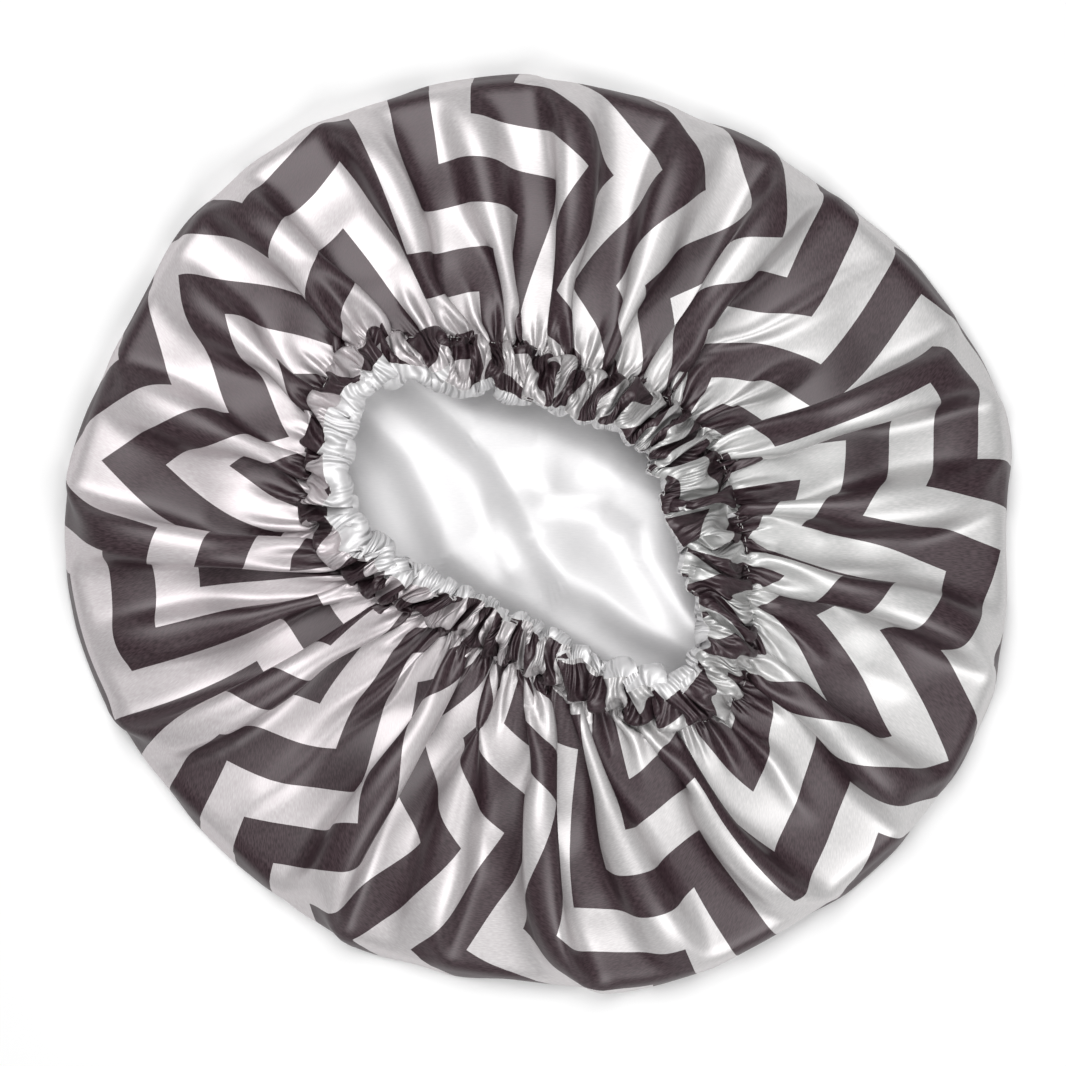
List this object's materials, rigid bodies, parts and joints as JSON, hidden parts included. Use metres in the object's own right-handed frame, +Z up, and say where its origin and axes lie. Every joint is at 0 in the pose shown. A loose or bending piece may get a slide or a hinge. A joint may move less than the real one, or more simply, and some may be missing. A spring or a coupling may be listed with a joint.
{
  "type": "hair bonnet",
  "caption": "Round satin hair bonnet lying on its crown: printed outer cloth folds in at the rim to a gathered elastic casing round the mouth, with plain white lining inside.",
  "frame": {"origin": "on the surface it lies on, under the middle of its bounding box", "axes": "+Z up out of the mouth, +X to the right of the picture and along its longest extent, +Y to the top of the picture"},
  "size_m": [0.35, 0.337, 0.0377],
  "materials": {
    "printed_satin": "glossy satin with a printed chevron in charcoal and silver white",
    "white_satin": "glossy white satin",
    "woven_elastic": "matt woven elastic tape",
    "sewing_thread": "spun polyester thread"
  },
  "bodies": {
    "root": {"outer_crown": "printed_satin", "outer_skirt": "printed_satin", "outer_casing": "printed_satin", "lining_crown": "white_satin", "lining_skirt": "white_satin", "lining_casing": "white_satin", "elastic_band": "woven_elastic", "elastic_join_thread": "sewing_thread", "casing_seam_thread": "sewing_thread", "edge_seam_thread": "sewing_thread"}
  },
  "joints": []
}
